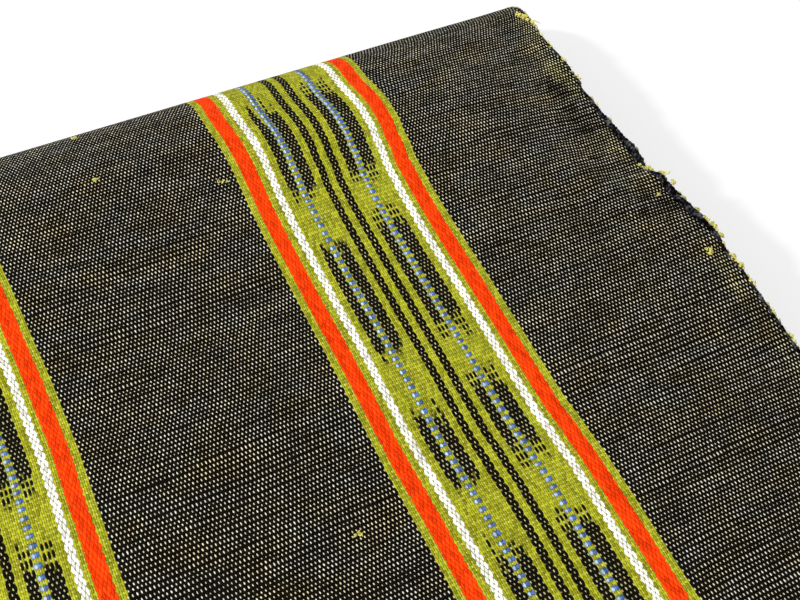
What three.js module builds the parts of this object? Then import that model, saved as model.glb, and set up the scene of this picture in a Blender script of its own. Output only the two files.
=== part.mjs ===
// Warp-striped ikat cloth, one cut length folded in half twice and laid down with its wide fold at the back.
// Millimetres. X runs along the weft, Y along the warp of the top layer, Z is up, and z = 0 is the resting face.
import * as THREE from "three";

// The cloth itself: its width between the two selvedges and how thick the weave is.
const WIDTH = 240;
const THICKNESS = 1.3;

// The four layers in the order in which the cloth runs through them, heights at mid cloth.
// "front" and "back" are the heights at the ends of a layer; "steps" is how finely it is cut up.
const LAYERS = {
  top: { front: 12.2, back: 21.4, steps: 15 },
  bottom: { front: THICKNESS / 2, back: THICKNESS / 2, steps: 8 },
  third: { front: 4.6, back: 3.7, steps: 8 },
  second: { front: 8.4, back: 15.0, steps: 8 },
};

// The folds between them. "reach" is the furthest y of the fold, "skew" is how much that y changes for each
// millimetre of x, "level" is the height of that furthest point, and the two depths say how far in front of it
// the fold's upper and lower quarter begin.
const FOLDS = {
  outerBack: { side: 1, reach: 100, skew: -0.045, level: 8.5, upperDepth: 29, lowerDepth: 16, steps: 9 },
  front: { side: -1, reach: -98, skew: -0.05, level: 2.7, upperDepth: 4.5, lowerDepth: 4, steps: 5 },
  innerBack: { side: 1, reach: 92, skew: -0.045, level: 8.4, upperDepth: 20, lowerDepth: 9, steps: 6 },
};

// The two cut ends. The lower one is askew because the cloth was folded a little askew.
const TOP_END = { y: -100, skew: 0 };
const INNER_END = { y: -86, skew: -0.08 };

// Soft ridges and troughs, each a rounded hill along the cloth's own normal. "x" and "along" are its centre
// (along is measured through the cloth from the top layer's cut end), "wide" and "long" its half widths,
// "turn" its turn in degrees and "lift" its height.
const SWELLS = [
  { x: 0, along: 158, wide: 400, long: 20, turn: 2.6, lift: 1.7 },
  { x: 75, along: 172, wide: 45, long: 24, turn: 0, lift: -0.5 },
  { x: -60, along: 70, wide: 46, long: 40, turn: 20, lift: 0.9 },
  { x: 55, along: 60, wide: 40, long: 46, turn: -15, lift: -0.9 },
  { x: 116, along: 150, wide: 16, long: 34, turn: 8, lift: -1.6 },
  { x: 107, along: 122, wide: 6, long: 20, turn: 24, lift: 0.9 },
  { x: 116, along: 96, wide: 9, long: 16, turn: -10, lift: 1.3 },
  { x: 115, along: 52, wide: 12, long: 26, turn: 0, lift: -0.8 },
  { x: -115, along: 110, wide: 12, long: 40, turn: 0, lift: -1.3 },
  { x: -113, along: 38, wide: 14, long: 24, turn: 0, lift: 0.9 },
  { x: 10, along: 8, wide: 60, long: 14, turn: 0, lift: -0.8 },
  { x: -50, along: 500, wide: 60, long: 40, turn: 0, lift: 0.7 },
  { x: 40, along: 720, wide: 60, long: 40, turn: 0, lift: -0.8 },
];

// How far each selvedge is drawn in at that length through the cloth, most where the right one goes over the
// back fold. The pull fades out over PULL_WIDTH from the selvedge.
const PULLS = [
  { along: 0, left: 0.5, right: 0.6 },
  { along: 60, left: -0.5, right: 0.3 },
  { along: 100, left: 0.9, right: 0.2 },
  { along: 124, left: 1.1, right: 2.4 },
  { along: 146, left: 0.3, right: 4.4 },
  { along: 170, left: 1.4, right: 4.9 },
  { along: 194, left: 0.6, right: 1.0 },
  { along: 240, left: -0.4, right: 0 },
  { along: 320, left: 1.0, right: -0.6 },
  { along: 405, left: 0, right: 0.9 },
  { along: 480, left: 0.8, right: -0.5 },
  { along: 600, left: -0.6, right: 0.8 },
  { along: 690, left: 0.7, right: 0 },
  { along: 785, left: 0, right: 0.6 },
];
const PULL_WIDTH = 52;

// Each layer lies a little to one side of the next: "x" is the shift at that length through the cloth.
const SHIFTS = [
  { along: 0, x: 0 },
  { along: 190, x: 0 },
  { along: 235, x: -2.4 },
  { along: 330, x: -0.8 },
  { along: 410, x: -1.8 },
  { along: 500, x: -1.2 },
  { along: 600, x: -3.4 },
  { along: 690, x: -2.6 },
  { along: 785, x: -1.4 },
];

const COLUMNS = 26;
const EDGE_CROWDING = 0.55;
const CLOTH_COLOUR = 0x2b2a20;
const CLOTH_ROUGHNESS = 0.9;

const mix = (a, b, t) => a + (b - a) * t;
const ease = (t) => t * t * (3 - 2 * t);
const easeSlope = (t) => 6 * t * (1 - t);

// A layer: straight in plan, its height eased from one end to the other so that it leaves both folds level.
function layerStations(start, end, startZ, endZ, steps) {
  return Array.from({ length: steps + 1 }, (_, i) => {
    const t = i / steps;
    const run = end.y - start.y;
    const rise = (endZ - startZ) * easeSlope(t);
    const length = Math.hypot(run, rise);
    return {
      y: mix(start.y, end.y, t),
      z: mix(startZ, endZ, ease(t)),
      skew: mix(start.skew, end.skew, t),
      normal: [-rise / length, run / length],
    };
  });
}

// A fold: two quarter ellipses that meet at the furthest point. The cloth goes down through it or up.
function foldStations(fold, lowZ, highZ, goesDown) {
  const turn = goesDown ? 1 : -1;
  const upper = { depth: fold.upperDepth, height: highZ - fold.level };
  const lower = { depth: fold.lowerDepth, height: fold.level - lowZ };
  const halves = goesDown ? [upper, lower] : [lower, upper];
  const stations = [];
  for (let i = 1; i < 2 * fold.steps; i++) {
    const angle = (Math.PI * i) / (2 * fold.steps);
    const { depth, height } = halves[i < fold.steps ? 0 : 1];
    const out = turn * height * Math.sin(angle);
    const up = fold.side * depth * Math.cos(angle);
    const length = Math.hypot(out, up);
    stations.push({
      y: fold.reach + fold.side * depth * (Math.sin(angle) - 1),
      z: fold.level + turn * height * Math.cos(angle),
      skew: fold.skew,
      normal: [out / length, up / length],
    });
  }
  return stations;
}

// Where a layer meets the upper or the lower quarter of a fold.
function meets(fold, depth) {
  return { y: fold.reach - fold.side * depth, skew: fold.skew };
}

// The whole run of the cloth, from the top layer's cut end to the inner cut end.
function clothStations() {
  const { top, bottom, third, second } = LAYERS;
  const { outerBack, front, innerBack } = FOLDS;
  const stations = [
    ...layerStations(TOP_END, meets(outerBack, outerBack.upperDepth), top.front, top.back, top.steps),
    ...foldStations(outerBack, bottom.back, top.back, true),
    ...layerStations(
      meets(outerBack, outerBack.lowerDepth),
      meets(front, front.lowerDepth),
      bottom.back,
      bottom.front,
      bottom.steps,
    ),
    ...foldStations(front, bottom.front, third.front, false),
    ...layerStations(
      meets(front, front.upperDepth),
      meets(innerBack, innerBack.lowerDepth),
      third.front,
      third.back,
      third.steps,
    ),
    ...foldStations(innerBack, third.back, second.back, false),
    ...layerStations(meets(innerBack, innerBack.upperDepth), INNER_END, second.back, second.front, second.steps),
  ];
  let along = 0;
  stations.forEach((station, i) => {
    if (i > 0) {
      along += Math.hypot(station.y - stations[i - 1].y, station.z - stations[i - 1].z);
    }
    station.along = along;
  });
  return stations;
}

// Height of all soft ridges and troughs at a place on the cloth, as a sum of turned rounded hills.
function swell(x, along) {
  return SWELLS.reduce((sum, s) => {
    const angle = THREE.MathUtils.degToRad(s.turn);
    const dx = x - s.x;
    const ds = along - s.along;
    const across = (dx * Math.cos(angle) + ds * Math.sin(angle)) / s.wide;
    const down = (ds * Math.cos(angle) - dx * Math.sin(angle)) / s.long;
    return sum + s.lift * Math.exp(-across * across - down * down);
  }, 0);
}

// A column of a table that is keyed by "along", eased between its rows.
function readTable(table, column, along) {
  const next = table.findIndex((row) => row.along > along);
  if (next < 0) {
    return table[table.length - 1][column];
  }
  const a = table[next - 1];
  const b = table[next];
  return mix(a[column], b[column], ease((along - a.along) / (b.along - a.along)));
}

// x of a thread that lies at "x" in the flat cloth.
function threadX(x, along) {
  const nearRight = Math.max(0, 1 - (WIDTH / 2 - x) / PULL_WIDTH);
  const nearLeft = Math.max(0, 1 - (WIDTH / 2 + x) / PULL_WIDTH);
  const fromRight = readTable(PULLS, "right", along) * nearRight * nearRight;
  const fromLeft = readTable(PULLS, "left", along) * nearLeft * nearLeft;
  return x - fromRight + fromLeft + readTable(SHIFTS, "x", along);
}

// Columns of threads from the left selvedge to the right one, closer together near the selvedges.
function columnXs() {
  return Array.from({ length: COLUMNS + 1 }, (_, i) => {
    const t = (2 * i) / COLUMNS - 1;
    return (WIDTH / 2) * mix(t, Math.sin((Math.PI * t) / 2), EDGE_CROWDING);
  });
}

// The layer that rests on the surface stays flat: it has no swells, and they fade out on both sides of it.
function restingFade(station, stations) {
  const flat = stations.filter((s) => s.z === LAYERS.bottom.back);
  const from = flat[0].along;
  const to = flat[flat.length - 1].along;
  const gap = Math.max(from - station.along, station.along - to, 0);
  return ease(Math.min(1, gap / FOLDS.outerBack.lowerDepth));
}

// One closed sheet: a face and a back, each half the thickness from mid cloth along the normal, joined all round.
function sheetGeometry() {
  const stations = clothStations();
  const xs = columnXs();
  const rows = stations.length;
  const columns = xs.length;
  const positions = [];
  for (const side of [1, -1]) {
    for (const station of stations) {
      const fade = restingFade(station, stations);
      for (const x of xs) {
        const lift = fade * swell(x, station.along) + (side * THICKNESS) / 2;
        const placedX = threadX(x, station.along);
        positions.push(
          placedX,
          station.y + station.skew * x + station.normal[0] * lift,
          station.z + station.normal[1] * lift,
        );
      }
    }
  }
  const at = (side, row, column) => (side * rows + row) * columns + column;
  const index = [];
  const quad = (a, b, c, d) => index.push(a, b, c, a, c, d);
  for (let r = 0; r < rows - 1; r++) {
    for (let c = 0; c < columns - 1; c++) {
      quad(at(0, r, c), at(0, r, c + 1), at(0, r + 1, c + 1), at(0, r + 1, c));
      quad(at(1, r, c), at(1, r + 1, c), at(1, r + 1, c + 1), at(1, r, c + 1));
    }
    quad(at(0, r, 0), at(0, r + 1, 0), at(1, r + 1, 0), at(1, r, 0));
    quad(at(0, r, columns - 1), at(1, r, columns - 1), at(1, r + 1, columns - 1), at(0, r + 1, columns - 1));
  }
  for (let c = 0; c < columns - 1; c++) {
    quad(at(0, 0, c), at(1, 0, c), at(1, 0, c + 1), at(0, 0, c + 1));
    quad(at(0, rows - 1, c), at(0, rows - 1, c + 1), at(1, rows - 1, c + 1), at(1, rows - 1, c));
  }
  const geometry = new THREE.BufferGeometry();
  geometry.setAttribute("position", new THREE.Float32BufferAttribute(positions, 3));
  geometry.setIndex(index);
  geometry.computeVertexNormals();
  return geometry;
}

const cloth = new THREE.Mesh(
  sheetGeometry(),
  new THREE.MeshStandardMaterial({ color: CLOTH_COLOUR, roughness: CLOTH_ROUGHNESS, metalness: 0 }),
);
cloth.name = "cloth";

const part = new THREE.Group();
part.add(cloth);

export default part;
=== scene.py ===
"""A warp-striped ikat cloth: one cut length folded in half twice, with its wide soft fold at the back.

The cloth is a warp-faced plain weave. Every place on it is given by two lengths in the flat cloth: x,
across it from the middle thread, and along, from the top layer's cut end. place() says where such a point
lies once the cloth is folded, and the sheet, the selvedge yarns and the slubs all stand on it."""
import math

import bpy
import numpy as np
from mathutils import Matrix


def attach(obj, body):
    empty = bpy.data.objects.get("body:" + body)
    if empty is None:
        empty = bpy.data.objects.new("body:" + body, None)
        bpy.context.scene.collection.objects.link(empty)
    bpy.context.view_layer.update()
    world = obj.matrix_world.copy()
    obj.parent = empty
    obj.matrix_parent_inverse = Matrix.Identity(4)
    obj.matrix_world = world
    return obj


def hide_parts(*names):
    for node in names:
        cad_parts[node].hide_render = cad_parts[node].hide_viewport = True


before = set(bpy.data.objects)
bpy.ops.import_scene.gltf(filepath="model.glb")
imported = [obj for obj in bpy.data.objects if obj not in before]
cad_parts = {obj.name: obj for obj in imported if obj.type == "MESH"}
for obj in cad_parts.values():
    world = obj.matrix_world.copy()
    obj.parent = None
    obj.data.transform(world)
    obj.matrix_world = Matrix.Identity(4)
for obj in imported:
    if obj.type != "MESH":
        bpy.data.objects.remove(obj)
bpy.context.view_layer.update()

MM = 0.001

# The flat cloth, in millimetres and threads
WIDTH = 240.0
THICKNESS = 1.1
BORDER_ENDS = 124
BAND_ENDS = 98
MIDDLE_ENDS = 128
ENDS = 2 * BORDER_ENDS + 2 * BAND_ENDS + MIDDLE_ENDS
END_PITCH = WIDTH / ENDS
ROW_PITCH = 2.328 * END_PITCH

# The layers in the order in which the cloth runs through them, with heights at mid cloth
LAYERS = {
    "top": {"front": 12.2, "back": 21.4, "steps": 110},
    "bottom": {"front": THICKNESS / 2, "back": THICKNESS / 2, "steps": 30},
    "third": {"front": 4.6, "back": 3.7, "steps": 24},
    "second": {"front": 8.4, "back": 15.0, "steps": 30},
}

# The folds. The furthest y is "reach", it changes by "skew" for each millimetre of x, "level" is its
# height, and the two depths say how far in front of it the upper and the lower quarter begin.
FOLDS = {
    "outer back": {
        "side": 1, "reach": 100, "skew": -0.045, "level": 8.5, "upper": 29, "lower": 16, "steps": 26,
    },
    "front": {"side": -1, "reach": -98, "skew": -0.05, "level": 2.7, "upper": 4.5, "lower": 4, "steps": 7},
    "inner back": {
        "side": 1, "reach": 92, "skew": -0.045, "level": 8.4, "upper": 20, "lower": 9, "steps": 8,
    },
}
TOP_END = {"y": -100, "skew": 0}
INNER_END = {"y": -86, "skew": -0.08}

# Soft ridges and troughs: centre (x, along), half widths across and along, turn in degrees, height
SWELLS = [
    (0, 158, 400, 20, 2.6, 1.7),
    (75, 172, 45, 24, 0, -0.5),
    (-60, 70, 46, 40, 20, 0.9),
    (55, 60, 40, 46, -15, -0.9),
    (116, 150, 16, 34, 8, -1.6),
    (107, 122, 6, 20, 24, 0.9),
    (116, 96, 9, 16, -10, 1.3),
    (115, 52, 12, 26, 0, -0.8),
    (-115, 110, 12, 40, 0, -1.3),
    (-113, 38, 14, 24, 0, 0.9),
    (10, 8, 60, 14, 0, -0.8),
    (-50, 500, 60, 40, 0, 0.7),
    (40, 720, 60, 40, 0, -0.8),
]

# Small puckers where the right selvedge is drawn in, with the same columns
PUCKERS = [
    (0, 176, 400, 15, 2.6, 0.35),
    (111, 151, 2.6, 6.5, 20, -0.55),
    (107, 141, 2.2, 6.0, 26, -0.35),
    (114, 160, 2.4, 5.0, 10, 0.30),
    (115.5, 143, 1.8, 7.0, 22, 0.35),
    (109, 130, 3.0, 4.0, 60, -0.30),
    (112, 118, 3.2, 3.4, 70, 0.28),
    (103, 126, 5.0, 3.0, 75, 0.22),
    (113, 106, 4.0, 3.2, 80, -0.26),
    (101, 108, 7.0, 2.6, 82, 0.16),
    (96, 118, 8.0, 2.6, 84, -0.16),
    (104, 98, 7.0, 3.0, 84, -0.15),
    (116, 86, 3.4, 4.0, 70, -0.25),
    (112, 172, 3.4, 5.0, 20, -0.30),
]

# How far each selvedge is drawn in, at a length through the cloth, and the sideways shift of the layers
PULLS = [
    (0, 0.5, 0.6), (60, -0.5, 0.3), (100, 0.9, 0.2), (124, 1.1, 2.4), (146, 0.3, 4.4), (170, 1.4, 4.9),
    (194, 0.6, 1.0), (240, -0.4, 0), (320, 1.0, -0.6), (405, 0, 0.9), (480, 0.8, -0.5), (600, -0.6, 0.8),
    (690, 0.7, 0), (785, 0, 0.6),
]
PULL_WIDTH = 52
SHIFTS = [
    (0, 0), (190, 0), (235, -2.4), (330, -0.8), (410, -1.8), (500, -1.2), (600, -3.4), (690, -2.6),
    (785, -1.4),
]

# Sideways drift of the threads round the left and the right band: along, and the drift to the right of each
DRIFTS = [
    (0, 0, 0), (30, 0, 1.0), (56, -0.2, 1.1), (66, -0.4, 0.95), (74, -0.6, 0.4), (82, -0.5, -0.25),
    (96, 0, -0.4), (112, 0.55, -0.6), (126, 0.35, -0.8), (142, -0.2, -0.75), (150, -0.45, -0.4),
    (158, -0.9, 0.75), (165, -1.0, 1.75), (171, -1.0, 2.05), (181, -1.0, 1.4), (192, -0.8, 2.15),
    (226, 0, 0), (785, 0, 0),
]
# The middle of each drift in x and its half width
LEFT_DRIFT = (-47, 55)
RIGHT_DRIFT = (64, 36)

# Small wander of the right selvedge's outline, along and how far it is drawn in
EDGE_NOTCHES = [
    (0, 0), (84, 0.4), (92, 0.5), (98.5, 1.0), (103, 0), (110, -0.3), (116, -0.4), (119, -0.6),
    (123.5, -1.3), (127.8, 0.6), (131, 0.2), (135, -0.2), (140, -0.3), (144, -0.5), (148, 0), (152, -0.1),
    (156, 0.3), (159, -0.7), (163, -0.8), (168, -0.6), (173, -0.2), (176.5, 0.3), (181, 0.4), (186, 0.7),
    (190, 0.6), (196, 0), (785, 0),
]
NOTCH_WIDTH = 9


def ease(t):
    """A smooth step from 0 to 1: three t squared less two t cubed."""
    return t * t * (3 - 2 * t)


def read_table(table, column, at):
    """A column of a table keyed by its first column, eased between its rows."""
    keys = np.array([row[0] for row in table], float)
    values = np.array([row[column] for row in table], float)
    i = np.clip(np.searchsorted(keys, at, side="right") - 1, 0, len(keys) - 2)
    t = np.clip((at - keys[i]) / (keys[i + 1] - keys[i]), 0, 1)
    return values[i] + (values[i + 1] - values[i]) * ease(t)


def layer_stations(start, end, layer, runs_back):
    """Straight in plan, with its height eased. Columns: y, z, skew, normal y, normal z."""
    first, last = (layer["front"], layer["back"]) if runs_back else (layer["back"], layer["front"])
    t = np.linspace(0, 1, layer["steps"] + 1)
    run = end["y"] - start["y"]
    rise = (last - first) * 6 * t * (1 - t)
    length = np.hypot(run, rise)
    return np.stack([
        start["y"] + run * t,
        first + (last - first) * ease(t),
        start["skew"] + (end["skew"] - start["skew"]) * t,
        -rise / length,
        run / length,
    ], axis=1)


def fold_stations(fold, low, high, goes_down):
    """Two quarter ellipses that meet at the furthest point, without their outer end points."""
    turn = 1 if goes_down else -1
    angle = np.pi * np.arange(1, 2 * fold["steps"]) / (2 * fold["steps"])
    upper = (fold["upper"], high - fold["level"])
    lower = (fold["lower"], fold["level"] - low)
    first, second = (upper, lower) if goes_down else (lower, upper)
    is_first = angle < np.pi / 2 - 1e-9
    depth = np.where(is_first, first[0], second[0])
    height = np.where(is_first, first[1], second[1])
    out = turn * height * np.sin(angle)
    up = fold["side"] * depth * np.cos(angle)
    length = np.hypot(out, up)
    return np.stack([
        fold["reach"] + fold["side"] * depth * (np.sin(angle) - 1),
        fold["level"] + turn * height * np.cos(angle),
        np.full_like(angle, fold["skew"]),
        out / length,
        up / length,
    ], axis=1)


def meets(name, quarter):
    """Where a layer meets that quarter of a fold."""
    fold = FOLDS[name]
    return {"y": fold["reach"] - fold["side"] * fold[quarter], "skew": fold["skew"]}


def cloth_path():
    """The run of the cloth from its top to its inner cut end. The first column is the length through it."""
    top, bottom, third, second = (LAYERS[name] for name in ("top", "bottom", "third", "second"))
    rows = np.concatenate([
        layer_stations(TOP_END, meets("outer back", "upper"), top, True),
        fold_stations(FOLDS["outer back"], bottom["back"], top["back"], True),
        layer_stations(meets("outer back", "lower"), meets("front", "lower"), bottom, False),
        fold_stations(FOLDS["front"], bottom["front"], third["front"], False),
        layer_stations(meets("front", "upper"), meets("inner back", "lower"), third, True),
        fold_stations(FOLDS["inner back"], third["back"], second["back"], False),
        layer_stations(meets("inner back", "upper"), INNER_END, second, False),
    ])
    steps = np.hypot(np.diff(rows[:, 0]), np.diff(rows[:, 1]))
    along = np.concatenate([[0], np.cumsum(steps)])
    return np.column_stack([along, rows])


PATH = cloth_path()
LENGTH = PATH[-1, 0]
RESTING = PATH[np.isclose(PATH[:, 2], LAYERS["bottom"]["back"]), 0]


def hills(table, x, along):
    """The sum of turned round hills, given in rows as in SWELLS."""
    total = np.zeros(np.broadcast(x, along).shape)
    for centre_x, centre_along, wide, long, turn, lift in table:
        angle = math.radians(turn)
        dx = x - centre_x
        ds = along - centre_along
        across = (dx * math.cos(angle) + ds * math.sin(angle)) / wide
        down = (ds * math.cos(angle) - dx * math.sin(angle)) / long
        total += lift * np.exp(-across ** 2 - down ** 2)
    return total


def resting_fade(along):
    """0 on the layer that rests on the surface, easing to 1 over the fold's lower depth on both sides."""
    gap = np.maximum(np.maximum(RESTING[0] - along, along - RESTING[-1]), 0)
    return ease(np.minimum(1, gap / FOLDS["outer back"]["lower"]))


def thread_x(x, along):
    """Where a thread lies across: drawn in at both selvedges, notched at the right one, and shifted."""
    near_right = np.maximum(0, 1 - (WIDTH / 2 - x) / PULL_WIDTH)
    near_left = np.maximum(0, 1 - (WIDTH / 2 + x) / PULL_WIDTH)
    near_notch = np.maximum(0, 1 - (WIDTH / 2 - x) / NOTCH_WIDTH)
    return (
        x
        - read_table(PULLS, 2, along) * near_right ** 2
        + read_table(PULLS, 1, along) * near_left ** 2
        - read_table(EDGE_NOTCHES, 1, along) * near_notch ** 2
        + read_table(DRIFTS, 1, along) * np.exp(-((x - LEFT_DRIFT[0]) / LEFT_DRIFT[1]) ** 2)
        + read_table(DRIFTS, 2, along) * np.exp(-((x - RIGHT_DRIFT[0]) / RIGHT_DRIFT[1]) ** 2)
        + read_table(SHIFTS, 1, along)
    )


def place(x, along, lift=0.0):
    """The folded place, in metres, of a point of the flat cloth that lies "lift" above mid cloth."""
    x, along, lift = np.broadcast_arrays(*(np.asarray(v, float) for v in (x, along, lift)))
    y, z, skew, normal_y, normal_z = (np.interp(along, PATH[:, 0], PATH[:, k]) for k in range(1, 6))
    raised = lift + resting_fade(along) * (hills(SWELLS, x, along) + hills(PUCKERS, x, along))
    placed = [thread_x(x, along), y + skew * x + normal_y * raised, z + normal_z * raised]
    return MM * np.stack(placed, axis=-1)


# The sheet's own mesh. Columns are crowded near the selvedges, and the round rim takes the last few.
WIDE_COLUMNS = 96
RIGHT_COLUMNS = 40
LEFT_COLUMNS = 16
RIGHT_ZONE = 30.0
LEFT_ZONE = 16.0
RIM_COLUMNS = 4
RIM = THICKNESS * 0.9

# The bake's own map: the top layer and the back fold take most of it, the resting layer a corner
SEEN_LENGTH = 226.0
SEEN_BOX = (0.004, 0.262, 0.996, 0.996)
RESTING_BOX = (0.004, 0.004, 0.330, 0.256)
INNER_BOX = (0.338, 0.004, 0.664, 0.256)
BACK_BOX = (0.672, 0.004, 0.996, 0.256)


def rim_steps(edge, towards):
    """Places of the rim's columns, which close up like the side of a circle: RIM times one less a cosine."""
    angle = np.linspace(0, np.pi / 2, RIM_COLUMNS + 1)
    return edge + towards * RIM * (1 - np.cos(angle))


def column_places():
    """x of the columns: a rounded rim, a crowded zone, wide steps, a crowded zone and a rounded rim."""
    half = WIDTH / 2
    left = rim_steps(-half, 1)
    right = rim_steps(half, -1)[::-1]
    return np.concatenate([
        left,
        np.linspace(left[-1], -half + LEFT_ZONE, LEFT_COLUMNS + 1)[1:],
        np.linspace(-half + LEFT_ZONE, half - RIGHT_ZONE, WIDE_COLUMNS + 1)[1:],
        np.linspace(half - RIGHT_ZONE, right[0], RIGHT_COLUMNS + 1)[1:-1],
        right,
    ])


def row_places():
    """Lengths along the path: its own stations, with a rounded rim at each cut end."""
    inside = PATH[(PATH[:, 0] > 2 * RIM) & (PATH[:, 0] < LENGTH - 2 * RIM), 0]
    return np.concatenate([
        rim_steps(0, 1),
        inside,
        rim_steps(LENGTH, -1)[::-1],
    ])


def half_thickness(x, along):
    """Half the weave's thickness, rounded off like a semicircle over the rim beside each edge."""
    from_edge = np.minimum(np.minimum(WIDTH / 2 - np.abs(x), along), LENGTH - along)
    t = np.clip(1 - from_edge / RIM, 0, 1)
    return THICKNESS / 2 * np.sqrt(np.maximum(0, 1 - t * t))


def into_box(box, u, v):
    """Fractions u and v of a box (left, bottom, right, top) of the map."""
    return np.stack([box[0] + (box[2] - box[0]) * u, box[1] + (box[3] - box[1]) * v], axis=-1)


def new_mesh(name, points, faces, smooth=True):
    mesh = bpy.data.meshes.new(name)
    mesh.from_pydata(points.reshape(-1, 3), [], faces)
    mesh.update()
    if smooth:
        mesh.shade_smooth()
    else:
        mesh.shade_flat()
    piece = bpy.data.objects.new(name, mesh)
    bpy.context.scene.collection.objects.link(piece)
    return piece


def loop_vertices(mesh):
    found = np.empty(len(mesh.loops), np.int32)
    mesh.loops.foreach_get("vertex_index", found)
    return found


def make_sheet():
    """One closed sheet: a face and a back on one grid of (x, along), half the thickness to either side of
    mid cloth. They share the vertices of the grid's border, where the thickness is zero, so the rim is
    round."""
    xs, alongs = column_places(), row_places()
    x, along = np.meshgrid(xs, alongs)
    rows, columns = x.shape
    half = half_thickness(x, along)
    face = np.arange(rows * columns).reshape(rows, columns)
    back = face.copy()
    back[1:-1, 1:-1] = rows * columns + np.arange((rows - 2) * (columns - 2)).reshape(rows - 2, columns - 2)
    inner = (slice(1, -1), slice(1, -1))
    points = np.concatenate([
        place(x, along, half).reshape(-1, 3),
        place(x[inner], along[inner], -half[inner]).reshape(-1, 3),
    ])

    def quads(ids, flip):
        corners = [ids[:-1, :-1], ids[:-1, 1:], ids[1:, 1:], ids[1:, :-1]]
        return np.stack(corners[::-1] if flip else corners, axis=-1).reshape(-1, 4)

    faces = np.concatenate([quads(face, False), quads(back, True)])
    sheet = new_mesh("ikat_cloth", points, faces)
    mesh = sheet.data

    vertex_x = np.concatenate([x.ravel(), x[inner].ravel()])
    vertex_along = np.concatenate([along.ravel(), along[inner].ravel()])
    corner = loop_vertices(mesh)
    corner_x, corner_along = vertex_x[corner], vertex_along[corner]

    threads = np.stack([(corner_x + WIDTH / 2) / END_PITCH, corner_along / ROW_PITCH], axis=-1)
    write_map(mesh, "Threads", threads)

    quad_along = corner_along.reshape(-1, 4).mean(axis=1).repeat(4)
    on_back = np.arange(len(corner)) >= 4 * (rows - 1) * (columns - 1)
    across = corner_x / WIDTH + 0.5
    seen_row = alongs[np.searchsorted(alongs, SEEN_LENGTH)]
    resting_row = alongs[np.searchsorted(alongs, RESTING[-1])]
    seen = ~on_back & (quad_along < seen_row)
    resting = ~on_back & (quad_along >= seen_row) & (quad_along < resting_row)
    inside = ~on_back & (quad_along >= resting_row)
    baked = np.empty((len(corner), 2))
    for chosen, box, low, high in (
        (seen, SEEN_BOX, 0, seen_row),
        (resting, RESTING_BOX, seen_row, resting_row),
        (inside, INNER_BOX, resting_row, LENGTH),
        (on_back, BACK_BOX, 0, LENGTH),
    ):
        baked[chosen] = into_box(box, across[chosen], (corner_along[chosen] - low) / (high - low))
    write_map(mesh, "OFBake", baked)
    mesh.uv_layers.active = mesh.uv_layers["OFBake"]

    write_values(mesh, "tied", tied_depths(vertex_along))
    write_values(mesh, "shade", np.stack([
        hills(CREASE_SHADES, vertex_x, vertex_along),
        hills(PALE_PLACES, vertex_x, vertex_along),
        np.zeros_like(vertex_x),
    ], axis=-1))
    return sheet


def write_map(mesh, name, values):
    layer = mesh.uv_layers.new(name=name)
    layer.uv.foreach_set("vector", np.ascontiguousarray(values, np.float32).ravel())


def write_values(mesh, name, values):
    layer = mesh.attributes.new(name, "FLOAT_VECTOR", "POINT")
    layer.data.foreach_set("vector", np.ascontiguousarray(values, np.float32).ravel())


# The tied patches of the ikat columns, as lengths along the cloth where the dye took, in the order in which
# they are met from the top cut end. Past the last row they repeat.
TIED_LEFT = [(-6, 18), (30, 56.3), (72.3, 90.0), (105.0, 135.3), (150.8, 180.5)]
TIED_RIGHT = [(-6, 18), (32, 57.5), (73.5, 92.5), (106.0, 138.8), (150.8, 182.5)]
TIED_REPEAT = 207.0
# Beyond this length, and over so many millimetres, the patches' ends grow more ragged by so many times, and
# the ovals of the blue stripes grow taller with them
RAGGED_FROM = 156.0
RAGGED_OVER = 16.0
RAGGED_BY = 1.3


def tied_depth(table, along):
    """How far inside a tied patch a place lies, in millimetres along the warp, negative outside them."""
    at = np.mod(along, TIED_REPEAT)[..., None]
    start = np.array([row[0] for row in table] + [table[0][0] + TIED_REPEAT], float)
    end = np.array([row[1] for row in table] + [table[0][1] + TIED_REPEAT], float)
    return np.minimum(at - start, end - at).max(axis=-1)


def tied_depths(along):
    left = tied_depth(TIED_LEFT, along)
    right = tied_depth(TIED_RIGHT, along)
    ragged = 1 + RAGGED_BY * ease(np.clip((along - RAGGED_FROM) / RAGGED_OVER, 0, 1))
    return np.stack([left, right, ragged], axis=-1)


# Where the ground is painted darker as the shade in a crease, and where more of the weft shows, as in SWELLS
CREASE_SHADES = [
    (111.5, 161.3, 2.6, 1.2, 0, 1.7),
    (112.3, 158.2, 2.2, 1.2, 0, 1.5),
    (112.5, 153.0, 1.8, 2.6, 20, 0.7),
    (113, 144.5, 2.2, 1.6, 0, 1.2),
    (115.5, 115.5, 2.2, 1.3, 0, 1.5),
    (109, 115, 1.4, 1.0, 0, 1.4),
    (113, 189, 5, 4.5, 0, 0.5),
    (113, 141, 5, 5, 30, 0.35),
    (112, 117, 9, 5, 10, 0.35),
]
PALE_PLACES = [
    (116.5, 162, 3.0, 9, 10, 1.0),
    (117, 178, 3.0, 10, 0, 0.6),
    (116, 136, 3.5, 5, 0, 0.8),
    (114, 123, 5.0, 4, 0, 0.5),
    (116, 92, 1.9, 15, 0, 0.7),
    (116.5, 50, 2.2, 30, 0, 0.45),
]


# Yarns stay this far above the floor
FLOOR_GAP = 0.02 * MM


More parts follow.
